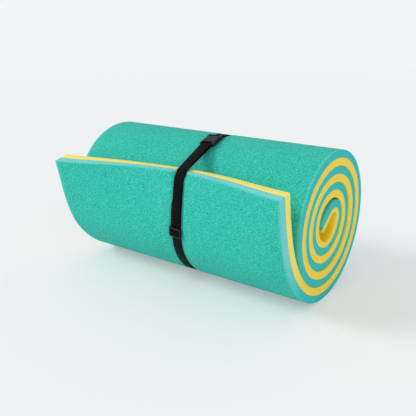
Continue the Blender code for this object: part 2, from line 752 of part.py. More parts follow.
def build_arm(name, sign, frame, material):
    outline = [(x, sign * y) for x, y in arm_outline()]
    root = []
    for k in range(1, 8):
        a = math.radians(90 + 180 * k / 8)
        root.append((ARM_ROOT_RADIUS * math.cos(a), sign * ARM_ROOT_RADIUS * math.sin(a)))
    outline = outline + root
    low = -ARM_HEIGHT / 2
    arm = finish_object(name, prism(outline, low, -low), material, frame)
    arm.location = (-PLUG_GAP, sign * ARM_ROOT_PLACE, BUCKLE_MIDDLE)
    add_bevel(arm, BUCKLE_EDGE / 2, 2, 50)
    return arm


def build_slider(frame, material):
    half = SLIDER_WIDTH / 2
    reach = SLIDER_LENGTH / 2
    web_half = HALF_WEB + 2 * WEB_LAYER_GAP
    bottom = DENT_DEPTH + SEAT_GAP
    outline = rounded(-reach, reach, half, SLIDER_CORNER)
    slider = finish_object("tri_glide_slider", prism(outline, bottom, HIGH_BAR_TOP), material, frame)
    add_bevel(slider, SLIDER_EDGE)
    over = SLIDER_BAR
    inside = rectangle(-reach + SLIDER_BAR, reach - SLIDER_BAR, web_half)
    opening = cutter("slider_opening", prism(inside, bottom - over, HIGH_BAR_TOP + over), frame)
    add_boolean(slider, opening, "DIFFERENCE")
    under = rectangle(-reach - over, reach + over, web_half)
    clear = cutter("slider_underside", prism(under, bottom - over, HIGH_BAR_BOTTOM), frame)
    add_boolean(slider, clear, "DIFFERENCE")
    middle = rounded(-SLIDER_BAR / 2, SLIDER_BAR / 2, half - SLIDER_CORNER / 2, SLIDER_EDGE, 2)
    bar = cutter("slider_middle_bar", prism(middle, LOW_BAR_BOTTOM, LOW_BAR_TOP), frame)
    add_boolean(slider, bar, "UNION")
    return slider


def rest_cutter(lowest):
    mesh = bmesh.new()
    bmesh.ops.create_cube(mesh, size=1.0)
    size = (MAT_WIDTH + REST_CUT_MARGIN, MAT_WIDTH, REST_CUT_MARGIN)
    bmesh.ops.scale(mesh, vec=size, verts=mesh.verts)
    bmesh.ops.translate(mesh, vec=(0, 0, lowest + REST_FLAT_DEPTH - REST_CUT_MARGIN / 2), verts=mesh.verts)
    return cutter("rest_cut", mesh, None)


def main():
    for obj in list(bpy.data.objects):
        bpy.data.objects.remove(obj, do_unlink=True)
    green = make_material("outer_foam", OUTER_GREEN, 0.75)
    yellow = make_material("inner_foam", INNER_YELLOW, 0.75)
    webbing = make_material("webbing", WEBBING_BLACK, 0.8)
    plastic = make_material("buckle_plastic", BUCKLE_BLACK, 0.4)

    outer_rows = ply_rows(
        lambda s: HALF_GAP - bond_sink(s),
        lambda s, off: HALF_GAP + outer_rise(s) - (dent(s, off) if off is not None else 0.0),
        STRAP_START_TURN)
    inner_rows = ply_rows(
        lambda s: -HALF_GAP - bond_sink(s) - inner_thickness(s),
        lambda s, off: -HALF_GAP - bond_sink(s),
        LIFT_TURN)
    outer = build_ply("outer_foam_ply", outer_rows, green)
    inner = build_ply("inner_foam_ply", inner_rows, yellow)
    strap = build_webbing(webbing)
    buckle_frame = make_empty("buckle_frame", frame_at(-BUCKLE_BACK))
    slider_frame = make_empty("slider_frame", frame_at(LOOP.edge - SLIDER_DROP))
    build_socket(buckle_frame, plastic)
    build_plug(buckle_frame, plastic)
    build_arm("right_latch_arm", -1, buckle_frame, plastic)
    build_arm("left_latch_arm", 1, buckle_frame, plastic)
    build_slider(slider_frame, plastic)

    # the roll stands on the ground plane, centred over the origin
    points = [v.co for obj in (outer, inner) for v in obj.data.vertices]
    lowest = min(p.z for p in points)
    centre = [(min(p[k] for p in points) + max(p[k] for p in points)) / 2 for k in (0, 1)]
    rest = make_empty("rest", Matrix.Translation((-centre[0], -centre[1], -lowest - REST_FLAT_DEPTH)))
    for obj in (outer, inner, strap, buckle_frame, slider_frame):
        obj.parent = rest
    ground = rest_cutter(lowest)
    ground.parent = rest
    add_boolean(outer, ground, "DIFFERENCE")
    bpy.context.view_layer.update()


main()
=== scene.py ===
import math

import bmesh
import bpy
import numpy as np
from mathutils import Matrix, Vector


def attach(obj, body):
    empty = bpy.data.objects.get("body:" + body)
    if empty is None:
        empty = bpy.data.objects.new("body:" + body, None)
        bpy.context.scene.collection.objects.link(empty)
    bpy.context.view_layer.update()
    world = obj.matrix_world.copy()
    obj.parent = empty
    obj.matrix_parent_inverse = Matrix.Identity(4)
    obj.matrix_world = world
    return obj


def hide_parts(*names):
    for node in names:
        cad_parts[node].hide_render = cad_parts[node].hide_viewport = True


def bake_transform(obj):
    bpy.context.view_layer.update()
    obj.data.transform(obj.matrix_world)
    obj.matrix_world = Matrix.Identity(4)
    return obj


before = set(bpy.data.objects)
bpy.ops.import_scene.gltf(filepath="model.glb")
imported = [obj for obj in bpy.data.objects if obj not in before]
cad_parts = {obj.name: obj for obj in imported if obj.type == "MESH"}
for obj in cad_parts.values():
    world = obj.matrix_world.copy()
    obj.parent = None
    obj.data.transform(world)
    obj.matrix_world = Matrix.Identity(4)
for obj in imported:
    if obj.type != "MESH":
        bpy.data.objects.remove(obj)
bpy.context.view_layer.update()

print("frame loaded:", len(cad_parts), "nodes")

# lengths in metres, angles in degrees; the winding is worked out round the roll's own axis
# and then stood on the floor
standing = (0.0019373, 0.0271341, 0.1421663)


def newTree(name, inputs):
    tree = bpy.data.node_groups.new(name, "GeometryNodeTree")
    for label, kind in inputs:
        tree.interface.new_socket(name=label, in_out="INPUT", socket_type="NodeSocket" + kind)
    tree.interface.new_socket(name="Geometry", in_out="OUTPUT", socket_type="NodeSocketGeometry")
    given = tree.nodes.new("NodeGroupInput")
    return tree, given.outputs


def feed(tree, socket, value):
    if isinstance(value, bpy.types.NodeSocket):
        tree.links.new(value, socket)
    elif value is not None:
        socket.default_value = value


def addNode(tree, kind, settings=None, **values):
    node = tree.nodes.new(kind)
    for key, value in (settings or {}).items():
        setattr(node, key, value)
    for key, value in values.items():
        feed(tree, node.inputs[key.replace("_", " ")], value)
    return node


def calc(tree, operation, *values):
    node = tree.nodes.new("ShaderNodeMath")
    node.operation = operation
    for socket, value in zip(node.inputs, values):
        feed(tree, socket, value)
    return node.outputs[0]


def vectorCalc(tree, operation, *values):
    node = tree.nodes.new("ShaderNodeVectorMath")
    node.operation = operation
    sockets = [s for s in node.inputs if s.enabled] if operation != "SCALE" else [node.inputs[0], node.inputs["Scale"]]
    for socket, value in zip(sockets, values):
        feed(tree, socket, value)
    return node.outputs["Value" if operation == "LENGTH" else "Vector"]


def combine(tree, x, y, z):
    node = tree.nodes.new("ShaderNodeCombineXYZ")
    for socket, value in zip(node.inputs, (x, y, z)):
        feed(tree, socket, value)
    return node.outputs[0]


def attribute(tree, name, kind="FLOAT"):
    node = tree.nodes.new("GeometryNodeInputNamedAttribute")
    node.data_type = kind
    node.inputs["Name"].default_value = name
    return node.outputs["Attribute"]


def mixVectors(tree, share, a, b):
    node = tree.nodes.new("ShaderNodeMix")
    node.data_type = "VECTOR"
    node.clamp_factor = True
    feed(tree, node.inputs[0], share)
    feed(tree, node.inputs[4], a)
    feed(tree, node.inputs[5], b)
    return node.outputs[1]


def finishTree(tree, geometry, material, cutMaterial=None):
    # every tree ends here: real faces first, then their materials
    real = addNode(tree, "GeometryNodeRealizeInstances", Geometry=geometry)
    dressed = addNode(tree, "GeometryNodeSetMaterial", Geometry=real.outputs[0], Material=material)
    if cutMaterial is not None:
        dressed = addNode(tree, "GeometryNodeSetMaterial", Geometry=dressed.outputs[0],
                          Selection=attribute(tree, "cutFace", "BOOLEAN"), Material=cutMaterial)
    out = tree.nodes.new("NodeGroupOutput")
    tree.links.new(dressed.outputs[0], out.inputs["Geometry"])


def runTree(obj, tree, values):
    modifier = obj.modifiers.new(tree.name, "NODES")
    modifier.node_group = tree
    for item in tree.interface.items_tree:
        if item.item_type == "SOCKET" and item.in_out == "INPUT" and item.name in values:
            modifier[item.identifier] = values[item.name]
    graph = bpy.context.evaluated_depsgraph_get()
    made = bpy.data.meshes.new_from_object(obj.evaluated_get(graph), preserve_all_data_layers=True, depsgraph=graph)
    obj.modifiers.remove(modifier)
    obj.data = made
    made.name = obj.name
    return obj


def newObject(name, points, edges=(), faces=()):
    mesh = bpy.data.meshes.new(name)
    mesh.from_pydata([tuple(p) for p in points], list(edges), list(faces))
    obj = bpy.data.objects.new(name, mesh)
    bpy.context.collection.objects.link(obj)
    return obj


def storeValues(obj, name, values, kind="FLOAT", domain="POINT"):
    layer = obj.data.attributes.new(name, kind, domain)
    if kind == "FLOAT_VECTOR":
        layer.data.foreach_set("vector", np.asarray(values, np.float32).ravel())
    elif kind == "BOOLEAN":
        layer.data.foreach_set("value", np.asarray(values, bool).ravel())
    else:
        layer.data.foreach_set("value", np.asarray(values, np.float32).ravel())


def closeMesh(obj, sharpAngle):
    mesh = bmesh.new()
    mesh.from_mesh(obj.data)
    bmesh.ops.remove_doubles(mesh, verts=mesh.verts, dist=1e-7)
    bmesh.ops.recalc_face_normals(mesh, faces=mesh.faces)
    mesh.to_mesh(obj.data)
    mesh.free()
    obj.data.shade_smooth()
    obj.data.set_sharp_from_angle(angle=math.radians(sharpAngle))
    for face in obj.data.polygons:
        face.use_smooth = True


def smooth(share):
    share = np.clip(share, 0.0, 1.0)
    return share * share * (3 - 2 * share)


def newMaterial(name, roughness, colour):
    material = bpy.data.materials.new(name)
    material.use_nodes = True
    tree = material.node_tree
    shader = tree.nodes["Principled BSDF"]
    shader.inputs["Roughness"].default_value = roughness
    shader.inputs["Base Color"].default_value = (*colour, 1.0)
    material.diffuse_color = (*colour, 1.0)
    return material, tree, shader


def noise(tree, place, scale, detail=2.0, roughness=0.55):
    node = addNode(tree, "ShaderNodeTexNoise", Vector=place, Scale=scale, Detail=detail, Roughness=roughness)
    return node.outputs["Fac"]


def ranged(tree, value, low, high, toLow, toHigh):
    node = addNode(tree, "ShaderNodeMapRange", {"interpolation_type": "SMOOTHSTEP"}, Value=value, From_Min=low,
                   From_Max=high, To_Min=toLow, To_Max=toHigh)
    return node.outputs[0]


def mixColours(tree, share, a, b):
    node = tree.nodes.new("ShaderNodeMix")
    node.data_type = "RGBA"
    feed(tree, node.inputs[0], share)
    for socket, colour in ((node.inputs[6], a), (node.inputs[7], b)):
        feed(tree, socket, (*colour, 1.0) if isinstance(colour, tuple) else colour)
    return node.outputs[2]


# grain of the foam's skin and of its cut edge; scales are per metre
skinGrain = {
    "coarseScale": 0.4, "fineScale": 3.2, "sizeWeights": (0.62, 0.12, 0.26), "paleRange": (0.48, 0.63),
    "deepRange": (0.52, 0.37), "slowScale": 9.0, "edgeHighlightStart": 0.45, "cellSmoothness": 0.35,
    "speckleHeight": 0.6, "cellHeight": 0.5, "bumpDepth": 0.0005, "specular": 0.16,
}
cutGrain = {
    "wobbleScale": 300.0, "wobble": 0.0016, "pitRange": (0.15, 0.75), "speckleShare": 0.6, "speckleHeight": 0.6,
    "roughness": (0.72, 0.9), "bumpDepth": 0.0005, "specular": 0.12,
}
foamSheen = {"weight": 0.02, "roughness": 0.5}


def dressFoam(tree, shader, height, bump, grain):
    raisedGrain = addNode(tree, "ShaderNodeBump", Strength=bump, Distance=grain["bumpDepth"], Height=height)
    tree.links.new(raisedGrain.outputs[0], shader.inputs["Normal"])
    shader.inputs["Specular IOR Level"].default_value = grain["specular"]
    shader.inputs["Sheen Weight"].default_value = foamSheen["weight"]
    shader.inputs["Sheen Roughness"].default_value = foamSheen["roughness"]


def foamSkin(values):
    # closed skin of the sheet: speckle in three sizes over small cells, slow changes of tone, and a painted highlight
    # that makes the skin paler along the sheet's edges
    material, tree, shader = newMaterial(values["name"], 0.7, values["colour"])
    place = addNode(tree, "ShaderNodeTexCoord").outputs["Object"]
    speckle = noise(tree, place, values["speckle"], 2.0, 0.6)
    coarse = noise(tree, place, values["speckle"] * skinGrain["coarseScale"], 1.0, 0.5)
    fine = noise(tree, place, values["speckle"] * skinGrain["fineScale"], 1.0, 0.5)
    cells = addNode(tree, "ShaderNodeTexVoronoi", {"feature": "SMOOTH_F1"}, Vector=place, Scale=values["cells"],
                    Smoothness=skinGrain["cellSmoothness"])
    grain = ranged(tree, cells.outputs["Distance"], 0.1, 0.7, 1.0, 0.0)
    slow = noise(tree, place, skinGrain["slowScale"], 2.0, 0.5)
    toned = mixColours(tree, ranged(tree, slow, 0.35, 0.65, 0.0, 1.0), values["colour"], values["slowColour"])
    weighed = [calc(tree, "MULTIPLY", size, weight)
               for size, weight in zip((speckle, coarse, fine), skinGrain["sizeWeights"])]
    dots = calc(tree, "ADD", calc(tree, "ADD", weighed[0], weighed[1]), weighed[2])
    palePlaces = ranged(tree, dots, *skinGrain["paleRange"], 0.0, values["paleShare"])
    deepPlaces = ranged(tree, dots, *skinGrain["deepRange"], 0.0, values["deepShare"])
    dark = mixColours(tree, deepPlaces, mixColours(tree, palePlaces, toned, values["pale"]), values["deep"])
    # painted highlight: the skin made paler along the sheet's edges, where the rims catch the light
    edge = addNode(tree, "ShaderNodeAttribute", {"attribute_name": "edgeHighlight"}).outputs["Fac"]
    rubbedAndHighlight = calc(tree, "MULTIPLY", ranged(tree, edge, skinGrain["edgeHighlightStart"], 1.0, 0.0, values["edgeHighlightShare"]),
                  ranged(tree, coarse, 0.3, 0.6, 0.55, 1.0))
    tree.links.new(mixColours(tree, rubbedAndHighlight, dark, values["wornAndHighlight"]), shader.inputs["Base Color"])
    rough = ranged(tree, fine, 0.3, 0.7, values["roughness"][0], values["roughness"][1])
    tree.links.new(rough, shader.inputs["Roughness"])
    height = calc(tree, "ADD", calc(tree, "MULTIPLY", speckle, skinGrain["speckleHeight"]),
                  calc(tree, "MULTIPLY", grain, skinGrain["cellHeight"]))
    dressFoam(tree, shader, height, values["bump"], skinGrain)
    return material


def foamCut(values):
    # cut edge: opened cells, darker in their pits as painted shade, and paler towards the free end as a painted
    # highlight
    material, tree, shader = newMaterial(values["name"], 0.8, values["colour"])
    place = addNode(tree, "ShaderNodeTexCoord").outputs["Object"]
    wobble = addNode(tree, "ShaderNodeTexNoise", Vector=place, Scale=cutGrain["wobbleScale"], Detail=1.0)
    moved = vectorCalc(tree, "ADD", place, vectorCalc(tree, "SCALE", wobble.outputs["Color"], cutGrain["wobble"]))
    cells = addNode(tree, "ShaderNodeTexVoronoi", {"feature": "F1"}, Vector=moved, Scale=values["cells"])
    pits = ranged(tree, cells.outputs["Distance"], *cutGrain["pitRange"], 0.0, 1.0)
    speckle = noise(tree, place, values["cells"] * cutGrain["speckleShare"], 2.0, 0.6)
    toned = mixColours(tree, ranged(tree, speckle, 0.35, 0.7, 0.0, 1.0), values["colour"], values["pale"])
    # painted shade: the cut edge darker in the opened cells' pits
    dark = mixColours(tree, calc(tree, "MULTIPLY", pits, values["deepShare"]), toned, values["deep"])
    # painted highlight: the cut edge made paler towards the free end, standing for the light falling on it
    litMask = addNode(tree, "ShaderNodeAttribute", {"attribute_name": "freeEndLight"}).outputs["Fac"]
    litShare = calc(tree, "MULTIPLY", litMask, ranged(tree, speckle, 0.3, 0.6, 0.6, values["freeEndLightShare"]))
    tree.links.new(mixColours(tree, litShare, dark, values["freeEndLight"]), shader.inputs["Base Color"])
    rough = ranged(tree, speckle, 0.3, 0.7, *cutGrain["roughness"])
    tree.links.new(rough, shader.inputs["Roughness"])
    height = calc(tree, "SUBTRACT", calc(tree, "MULTIPLY", speckle, cutGrain["speckleHeight"]), pits)
    dressFoam(tree, shader, height, values["bump"], cutGrain)
    return material


def wovenBand(values):
    # plain-woven band: ribs along it crossed by picks, read from its own map in metres
    material, tree, shader = newMaterial(values["name"], 0.6, values["colour"])
    flat = addNode(tree, "ShaderNodeUVMap", {"uv_map": "UVMap"}).outputs[0]
    split = addNode(tree, "ShaderNodeSeparateXYZ", Vector=flat)
    along, across = split.outputs[0], split.outputs[1]
    rib = calc(tree, "DIVIDE", across, values["rib"])
    ribNumber = calc(tree, "FLOOR", calc(tree, "ADD", rib, 50.0))  # kept above zero for the modulo
    shift = calc(tree, "MULTIPLY", calc(tree, "MODULO", ribNumber, 2.0), math.pi)
    pick = calc(tree, "ADD", calc(tree, "MULTIPLY", calc(tree, "DIVIDE", along, values["pick"]), 2 * math.pi), shift)
    warp = calc(tree, "ABSOLUTE", calc(tree, "SINE", calc(tree, "MULTIPLY", rib, math.pi)))
    weft = calc(tree, "ADD", calc(tree, "MULTIPLY", calc(tree, "SINE", pick), 0.5), 0.5)
    crossed = calc(tree, "ADD", calc(tree, "MULTIPLY", weft, 0.6), 0.4)
    height = calc(tree, "MULTIPLY", calc(tree, "POWER", warp, 0.6), crossed)
    place = addNode(tree, "ShaderNodeTexCoord").outputs["Object"]
    fibre = noise(tree, place, values["fibreScale"], 2.0, 0.6)
    fade = noise(tree, place, values["fadeScale"], 2.0, 0.5)
    # painted shade and highlight: the band darker in the weave's hollows and lighter on its raised tops
    body = mixColours(tree, calc(tree, "MULTIPLY", height, 0.8), values["colour"], values["raised"])
    faded = mixColours(tree, ranged(tree, fade, 0.45, 0.75, 0.0, 0.5), body, values["faded"])
    tree.links.new(faded, shader.inputs["Base Color"])
    tree.links.new(ranged(tree, fibre, 0.3, 0.7, *values["roughness"]), shader.inputs["Roughness"])
    rough = calc(tree, "ADD", height, calc(tree, "MULTIPLY", fibre, 0.25))
    bump = addNode(tree, "ShaderNodeBump", Strength=values["bump"], Distance=values["bumpDepth"], Height=rough)
    tree.links.new(bump.outputs[0], shader.inputs["Normal"])
    shader.inputs["Specular IOR Level"].default_value = values["specular"]
    return material


mouldGrain = {"grainScale": 2200.0, "rubbedScale": 140.0, "grainRoughness": 0.06, "bump": 0.35, "bumpDepth": 0.00012,
              "specular": 0.32}


def mouldedPlastic(values):
    # spark-eroded mould finish with handling marks
    material, tree, shader = newMaterial(values["name"], 0.42, values["colour"])
    place = addNode(tree, "ShaderNodeTexCoord").outputs["Object"]
    grain = noise(tree, place, mouldGrain["grainScale"], 2.0, 0.6)
    rubbedAndHighlight = noise(tree, place, mouldGrain["rubbedScale"], 3.0, 0.6)
    tone = mixColours(tree, ranged(tree, rubbedAndHighlight, 0.5, 0.75, 0.0, 0.7), values["colour"], values["wornAndHighlight"])
    tree.links.new(tone, shader.inputs["Base Color"])
    rough = calc(tree, "ADD", ranged(tree, rubbedAndHighlight, 0.35, 0.7, values["roughness"][0], values["roughness"][1]),
                 calc(tree, "MULTIPLY", grain, mouldGrain["grainRoughness"]))
    tree.links.new(rough, shader.inputs["Roughness"])
    bump = addNode(tree, "ShaderNodeBump", Strength=mouldGrain["bump"], Distance=mouldGrain["bumpDepth"], Height=grain)
    tree.links.new(bump.outputs[0], shader.inputs["Normal"])
    shader.inputs["Specular IOR Level"].default_value = mouldGrain["specular"]
    return material


finishes = {
    # each skin's pale edge colour, here and in the yellow one, is a painted highlight along the sheet's edges
    "greenSkin": {"name": "green foam skin", "colour": (0.019, 0.510, 0.404), "slowColour": (0.026, 0.530, 0.425),
                  "pale": (0.100, 0.650, 0.540), "deep": (0.002, 0.330, 0.255), "paleShare": 1.0, "deepShare": 1.0,
                  "wornAndHighlight": (0.130, 0.640, 0.600), "edgeHighlightShare": 0.75,
                  "speckle": 600.0, "cells": 1300.0, "roughness": (0.68, 0.86), "bump": 0.3},
    # each cut edge's free-end colour, here and in the yellow one, is a painted highlight on the free end
    "greenCut": {"name": "green foam cut edge", "colour": (0.030, 0.552, 0.535), "pale": (0.085, 0.665, 0.655),
                 "deep": (0.010, 0.410, 0.385), "deepShare": 0.40,
                 "freeEndLight": (0.235, 0.725, 0.700), "freeEndLightShare": 0.85, "cells": 750.0, "bump": 0.45},
    "yellowSkin": {"name": "yellow foam skin", "colour": (0.985, 0.700, 0.010), "slowColour": (0.990, 0.725, 0.018),
                   "pale": (0.995, 0.790, 0.060), "deep": (0.950, 0.610, 0.004), "paleShare": 0.6, "deepShare": 0.6,
                   "wornAndHighlight": (0.985, 0.800, 0.160), "edgeHighlightShare": 0.6,
                   "speckle": 600.0, "cells": 1300.0, "roughness": (0.68, 0.86), "bump": 0.3},
    "yellowCut": {"name": "yellow foam cut edge", "colour": (0.980, 0.722, 0.076), "pale": (0.995, 0.805, 0.155),
                  "deep": (0.900, 0.610, 0.035), "deepShare": 0.35,
                  "freeEndLight": (1.000, 0.885, 0.235), "freeEndLightShare": 0.85, "cells": 750.0, "bump": 0.45},
    "band": {"name": "black woven band", "colour": (0.0012, 0.0014, 0.0018), "raised": (0.0038, 0.0044, 0.0054),
             "faded": (0.0062, 0.0070, 0.0082), "rib": 0.00165, "pick": 0.0021,
             "fibreScale": 2600.0, "fadeScale": 60.0, "roughness": (0.5, 0.72), "bump": 0.85, "bumpDepth": 0.00035,
             "specular": 0.07},
    "thread": {"name": "black sewing thread", "colour": (0.016, 0.017, 0.020), "wornAndHighlight": (0.030, 0.032, 0.036),
               "roughness": (0.55, 0.7)},
    "plastic": {"name": "black moulded plastic", "colour": (0.0045, 0.0048, 0.0058), "wornAndHighlight": (0.0130, 0.0135, 0.0150),
                "roughness": (0.34, 0.46)},
}
greenSkin = foamSkin(finishes["greenSkin"])
greenCut = foamCut(finishes["greenCut"])
yellowSkin = foamSkin(finishes["yellowSkin"])
yellowCut = foamCut(finishes["yellowCut"])
bandWeave = wovenBand(finishes["band"])
sewingThread = mouldedPlastic(finishes["thread"])
blackPlastic = mouldedPlastic(finishes["plastic"])
print("materials made")


# two foam plies wound from the core outwards, the last stretch standing free
mat = {
    "width": 0.500, "outerWound": 0.0137, "innerWound": 0.0144, "outerFree": 0.0152, "innerFree": 0.0162,
    "bondSink": 0.0013, "squeezeTurns": (0, 112, 330, 400), "squeezeShares": (0.30, 0.35, 0.35, 0.0),
    "gap": 0.0003, "startRadius": 0.0223, "oval": 0.0033, "startAngle": 225.0,
    "joinTurn": 360.0, "liftTurn": 1440.0, "turnStep": 5.0, "fineTurn": 1080.0, "fineStep": 2.5,
    "coreRadii": (0.0510, 0.0234, 0.0400), "coreAngles": (109.0, 110.8, 28.3), "coreSteps": (33, 27, 9),
    "coreRun": 0.0345, "coreBlendSteps": 15,
    "standTurns": (0, 250, 560, 720, 900, 1080, 1300, 1450),
    "standShares": (-0.12, -0.12, -0.135, -0.10, -0.04, -0.02, -0.02, 0.0), "standReach": 0.045,
    "rim": 0.0011, "rimShoulder": 0.29, "plainColumns": 22, "coreRunShares": (0.3, 0.6, 0.85),
    "swellRate": 2.5, "freeEndLightRate": 1.8, "freeTurn": 80.0,
}
freeEnd = {
    "lengthFar": 0.2024, "lengthNear": 0.2175, "radiiFar": (0.1401, 0.3029, -0.4235),
    "radiiNear": (0.1927, 0.2761, -4.15), "steps": 54, "pullRadius": 0.234, "pullStart": 0.10, "pullEnd": 0.70,
    "pullPlace": 0.023, "reachNear": 0.262, "reachFar": 0.350, "tableReach": 0.262, "tablePlaces": 79,
}
dentValues = {"depth": 0.0024, "half": 0.0109, "shoulder": 0.0072, "crush": 0.0062, "crushLength": 0.016,
              "startTurn": 1190.0, "fadeTurn": 20.0, "skew": 10.5, "lean": 5.1}

halfWidth = mat["width"] / 2
halfGap = mat["gap"] / 2
pitch = mat["outerWound"] + mat["innerWound"] + 2 * mat["gap"]
skewSlope = math.tan(math.radians(dentValues["skew"]))
leanSlope = math.tan(math.radians(dentValues["lean"]))


def glueRadius(turn):
    spread = math.cos(2 * math.radians(mat["startAngle"] - turn))
    return mat["startRadius"] + pitch * turn / 360 + mat["oval"] * spread


def direction(angle):
    return np.array([math.cos(math.radians(angle)), math.sin(math.radians(angle))])


def gluePoint(turn):
    return glueRadius(turn) * direction(mat["startAngle"] - turn)


def headingAt(turn):
    step = gluePoint(turn + 0.5) - gluePoint(turn - 0.5)
    return math.atan2(step[1], step[0])


def outward(heading):
    return np.array([-math.sin(heading), math.cos(heading)])


def coreStations():
    # walked back from the winding to the mat's tip, then turned round
    place = gluePoint(mat["joinTurn"])
    heading = headingAt(mat["joinTurn"])
    turn = mat["joinTurn"]
    stations = []
    for radius, angle, steps in zip(mat["coreRadii"], mat["coreAngles"], mat["coreSteps"]):
        bend = math.radians(angle) / steps
        chord = 2 * radius * math.sin(bend / 2)
        for _ in range(steps):
            place = place - chord * np.array([math.cos(heading + bend / 2), math.sin(heading + bend / 2)])
            heading += bend
            turn -= angle / steps
            square = min((len(stations) + 1) / mat["coreBlendSteps"], 1.0)
            out = outward(heading) * square + place / np.linalg.norm(place) * (1 - square)
            stations.append((max(turn, 0.0), place, out / np.linalg.norm(out), 0.0))
    rim = mat["rim"]
    start = place
    shoulder = mat["rimShoulder"] * rim
    runs = [(share, 0.0) for share in mat["coreRunShares"]]
    runs += [(1 - rim / mat["coreRun"], 0.0), (1 - shoulder / mat["coreRun"], shoulder), (1.0, rim)]
    for run, drop in runs:
        place = start - run * mat["coreRun"] * np.array([math.cos(heading), math.sin(heading)])
        stations.append((0.0, place, outward(heading), drop))
    return stations[::-1]


def woundTurns():
    coarse = np.arange(mat["joinTurn"], mat["fineTurn"], mat["turnStep"])
    return np.concatenate([coarse, np.arange(mat["fineTurn"], mat["liftTurn"] + 1e-6, mat["fineStep"])])


def freeShares():
    rim = mat["rim"] / freeEnd["lengthNear"]
    shares = [k / freeEnd["steps"] for k in range(1, freeEnd["steps"])]
    return [s for s in shares if s < 1 - 2 * rim] + [1 - rim, 1 - mat["rimShoulder"] * rim, 1.0]


def freeBend(share, x):
    # bend per metre: a curve through three values, tightened where the strap pulls
    across = min(max(x / mat["width"] + 0.5, 0.0), 1.0)
    values = [(1 - across) / far + across / near for far, near in zip(freeEnd["radiiFar"], freeEnd["radiiNear"])]
    plain = (2 * (share - 0.5) * (share - 1) * values[0] + 4 * share * (1 - share) * values[1]
             + 2 * share * (share - 0.5) * values[2])
    reach = freeEnd["reachNear"] if x > freeEnd["pullPlace"] else freeEnd["reachFar"]
    off = min(abs(x - freeEnd["pullPlace"]) / reach, 1.0)
    along = (share - freeEnd["pullStart"]) / (freeEnd["pullEnd"] - freeEnd["pullStart"])
    pull = (1 + math.cos(math.pi * off)) / 2 * math.sin(math.pi * min(max(along, 0.0), 1.0)) ** 2
    return plain + pull / freeEnd["pullRadius"]


def freeStations(x, pieces=2):
    # rows of point and outward direction along the free end, at one place along the roll
    across = min(max(x / mat["width"] + 0.5, 0.0), 1.0)
    length = freeEnd["lengthFar"] + (freeEnd["lengthNear"] - freeEnd["lengthFar"]) * across
    place = gluePoint(mat["liftTurn"])
    heading = headingAt(mat["liftTurn"])
    rows = []
    before = 0.0
    for share in freeShares():
        step = (share - before) / pieces
        for k in range(pieces):
            bend = freeBend(before + (k + 0.5) * step, x) * step * length
            middle = heading - bend / 2
            place = place + step * length * np.array([math.cos(middle), math.sin(middle)])
            heading -= bend
        before = share
        rows.append((*place, *outward(heading)))
    return rows


freePlaces = np.linspace(-freeEnd["tableReach"], freeEnd["tableReach"], freeEnd["tablePlaces"])
freeTable = np.array([freeStations(x) for x in freePlaces])


def freeAt(x, row):
    return np.array([np.interp(x, freePlaces, freeTable[:, row, k]) for k in range(4)])


def outerRise(share):
    # from the spiral to the green face; the bond line lies deeper where the mat is wound
    freed = smooth(share * mat["swellRate"])
    return mat["outerWound"] + (mat["outerFree"] - mat["outerWound"]) * freed - mat["bondSink"] * (1 - freed)


def strapX(y, z):
    return -skewSlope * y + leanSlope * z


def pressed(turn, share, off):
    # how far the strap presses the green face in
    along = smooth((turn - dentValues["startTurn"]) / dentValues["fadeTurn"])
    across = smooth(1 - (np.abs(off) - dentValues["half"]) / dentValues["shoulder"])
    depth = dentValues["depth"]
    left = (1 - share) * freeEnd["lengthNear"]
    if share > 0 and left < dentValues["crushLength"]:
        depth = depth + dentValues["crush"] * smooth(1 - left / dentValues["crushLength"])
    return along * across * depth


def columnPlaces(centre):
    half, rim, count = halfWidth, mat["rim"], mat["plainColumns"]
    eased = mat["rimShoulder"] * rim
    reach = dentValues["half"] + dentValues["shoulder"]
    left = list(np.linspace(-half + rim, centre - reach, count + 1))
    right = list(np.linspace(centre + reach, half - rim, count + 1))
    shoulder = [dentValues["half"] + dentValues["shoulder"] * k for k in (0.75, 0.5, 0.25, 0.0)]
    middle = [-s for s in shoulder] + [-0.5 * shoulder[-1], 0.0, 0.5 * shoulder[-1]] + shoulder[::-1]
    places = [-half, -half + eased] + left + [centre + m for m in middle] + right + [half - eased, half]
    drops = [rim, eased] + [0.0] * (len(places) - 4) + [eased, rim]
    return np.array(places), np.array(drops)


def matRows():
    rows = []
    for turn, point, out, drop in coreStations():
        rows.append({"turn": turn, "point": point, "out": out, "drop": drop, "freed": 1.0, "share": 0.0})
    for turn in woundTurns():
        rows.append({"turn": turn, "point": gluePoint(turn), "out": direction(mat["startAngle"] - turn), "drop": 0.0,
                     "freed": 0.0, "share": 0.0})
    shares = freeShares()
    for index, share in enumerate(shares):
        station = freeAt(freeEnd["pullPlace"], index)
        drop = mat["rim"] * {len(shares) - 1: 1.0, len(shares) - 2: mat["rimShoulder"]}.get(index, 0.0)
        turn = mat["liftTurn"] + mat["freeTurn"] * share
        rows.append({"turn": turn, "point": station[:2], "out": station[2:], "drop": drop, "freed": 1.0,
                     "share": share, "index": index})
    for row in rows:
        nominal = row["point"] + row["out"] * outerRise(row["share"])
        row["centre"] = strapX(*nominal)
    return rows


rows = matRows()


